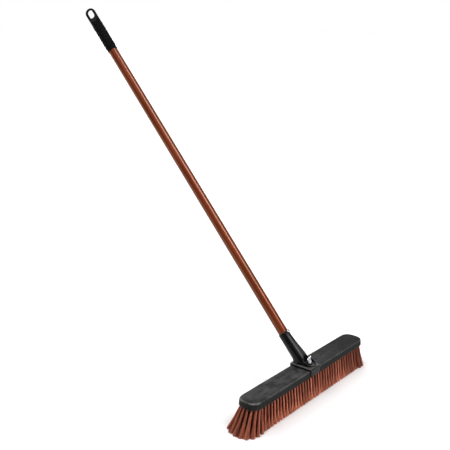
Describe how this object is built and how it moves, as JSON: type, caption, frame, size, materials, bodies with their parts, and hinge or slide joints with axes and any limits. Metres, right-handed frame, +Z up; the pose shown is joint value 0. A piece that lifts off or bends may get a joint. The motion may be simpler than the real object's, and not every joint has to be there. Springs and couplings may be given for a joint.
{
  "type": "push broom",
  "caption": "Push broom with a long resin block, tufted bristles that fan out at the ends, a bolted saddle socket, a coated steel handle and a rubber grip with a hang slot.",
  "frame": {"origin": "on the floor under the middle of the block, where the middle tuft's tip rests", "axes": "+X along the block, -Y the sweeping side, +Z up, the handle leans back towards +Y"},
  "size_m": [0.6611, 1.0169, 1.1858],
  "materials": {
    "resin": "dull moulded, faintly mottled",
    "moulding": "satin moulded",
    "coated_steel": "satin coat",
    "grip_rubber": "dull, bumped",
    "zinc": "bright zinc plated",
    "bristle": "dull drawn fibre"
  },
  "bodies": {
    "broom": {"block": "resin", "handle_socket": "moulding", "handle_tube": "coated_steel", "hand_grip": "grip_rubber", "socket_screw": "zinc", "mounting_bolt": "zinc", "bristle_row_1": "bristle", "bristle_row_2": "bristle", "bristle_row_3": "bristle", "bristle_row_4": "bristle", "bristle_row_5": "bristle", "bristle_row_6": "bristle", "bristle_row_7": "bristle", "left_end_tufts": "bristle", "right_end_tufts": "bristle"},
    "washer": {"flat_washer": "moulding"},
    "nut": {"wing_nut": "zinc"}
  },
  "joints": [
    {"name": "nut_climb", "type": "slide", "parent": "broom", "child": "washer", "axis": [0, 0, 1], "range_m": [0, 0.0085]},
    {"name": "nut_turn", "type": "hinge", "parent": "washer", "child": "nut", "pos_m": [0, -0.01543, 0.1125], "axis": [0, 0, 1], "range_deg": [0, 2160]}
  ],
  "couplings": [
    {"joint": "nut_climb", "follows": "nut_turn", "m_per_rad": 0.00022458}
  ]
}
